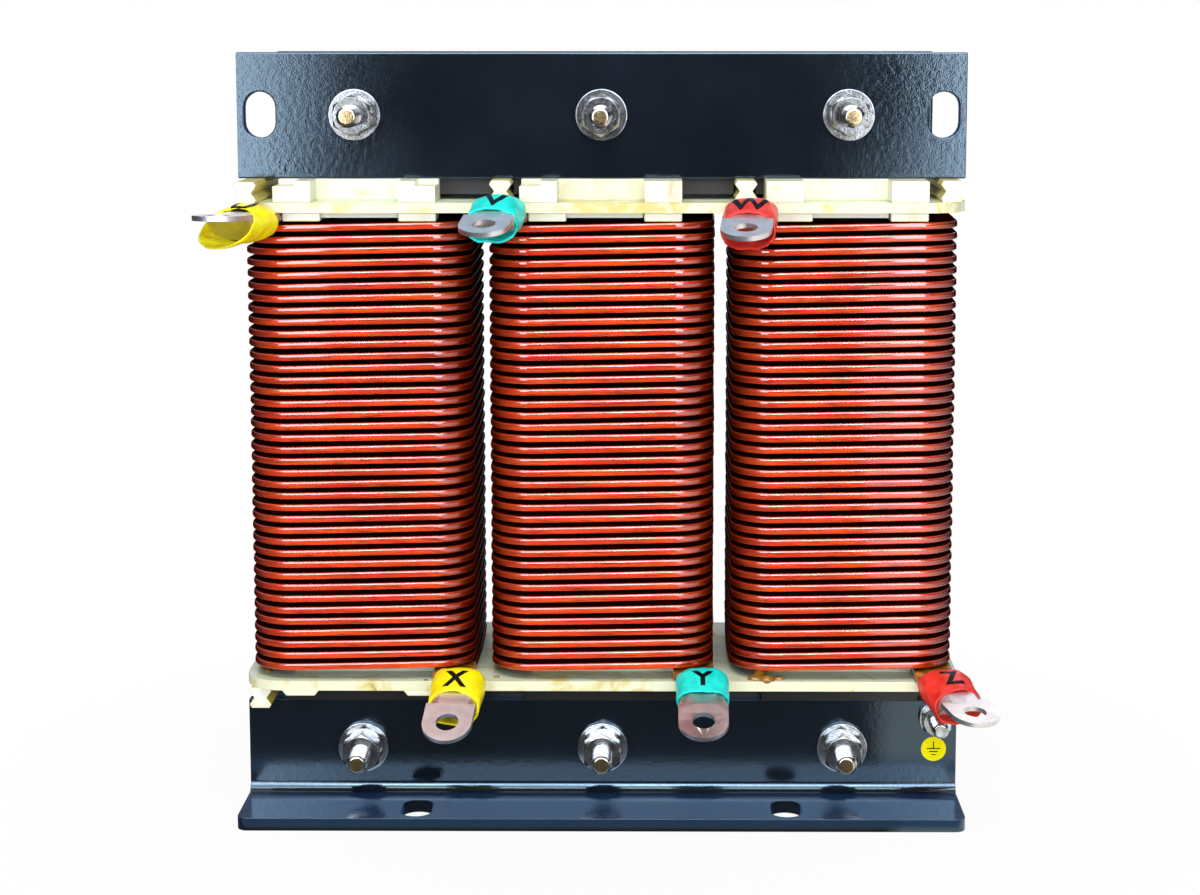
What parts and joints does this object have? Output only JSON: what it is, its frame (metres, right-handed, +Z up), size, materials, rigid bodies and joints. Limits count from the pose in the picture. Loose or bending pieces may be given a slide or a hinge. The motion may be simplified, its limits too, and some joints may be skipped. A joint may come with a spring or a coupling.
{
  "type": "filter reactor",
  "caption": "Dry-type filter reactor: clamped laminated core with air gaps, edgewise-wound enamelled coils between end plates, sleeved cable lugs and slotted feet.",
  "frame": {"origin": "on the floor under the middle limb, in the core's mid-plane", "axes": "+X to the right along the row of coils seen from the terminals, +Y away from the terminals to the back, +Z up along the limbs"},
  "size_m": [0.3626, 0.1866, 0.36],
  "materials": {
    "clamp_paint": "black powder coat, satin",
    "core_steel": "stacked electrical sheet, dark varnish",
    "coil_enamel": "orange-red enamel on flat copper, glossy",
    "end_board": "pale glass-fibre board",
    "spacer_board": "cream pressed glass-fibre profile",
    "former_board": "pale insulating tube",
    "gap_board": "glass-fibre gap plate",
    "lead_tape": "brown varnished tape",
    "tinned_copper": "tinned copper",
    "zinc_steel": "zinc-plated steel",
    "sleeve_yellow": "soft vinyl",
    "sleeve_teal": "soft vinyl",
    "sleeve_red": "soft vinyl"
  },
  "bodies": {
    "root": {"bottom_clamp_front": "clamp_paint", "bottom_clamp_rear": "clamp_paint", "bottom_yoke": "core_steel", "clamp_bolts": "zinc_steel", "clamp_flat_washers": "zinc_steel", "clamp_nuts": "zinc_steel", "clamp_spring_washers": "zinc_steel", "coil_left": "coil_enamel", "coil_middle": "coil_enamel", "coil_right": "coil_enamel", "earth_bolt": "zinc_steel", "earth_nut": "zinc_steel", "earth_washers": "zinc_steel", "former_left": "former_board", "former_middle": "former_board", "former_right": "former_board", "gap_plates_left": "gap_board", "gap_plates_middle": "gap_board", "gap_plates_right": "gap_board", "lead_u": "lead_tape", "lead_v": "lead_tape", "lead_w": "lead_tape", "lead_x": "lead_tape", "lead_y": "lead_tape", "lead_z": "lead_tape", "limb_blocks_left": "core_steel", "limb_blocks_middle": "core_steel", "limb_blocks_right": "core_steel", "lower_coil_packing": "spacer_board", "lower_end_plate": "end_board", "lower_press_blocks_front": "spacer_board", "lower_press_blocks_rear": "spacer_board", "lower_stay_bars": "spacer_board", "lug_sleeve_u": "sleeve_yellow", "lug_sleeve_v": "sleeve_teal", "lug_sleeve_w": "sleeve_red", "lug_sleeve_x": "sleeve_yellow", "lug_sleeve_y": "sleeve_teal", "lug_sleeve_z": "sleeve_red", "lug_u": "tinned_copper", "lug_v": "tinned_copper", "lug_w": "tinned_copper", "lug_x": "tinned_copper", "lug_y": "tinned_copper", "lug_z": "tinned_copper", "top_clamp_front": "clamp_paint", "top_clamp_rear": "clamp_paint", "top_yoke": "core_steel", "upper_corner_spacers": "spacer_board", "upper_end_plate": "end_board", "upper_press_blocks_front": "spacer_board", "upper_press_blocks_rear": "spacer_board", "upper_stay_bars": "spacer_board"}
  },
  "joints": []
}
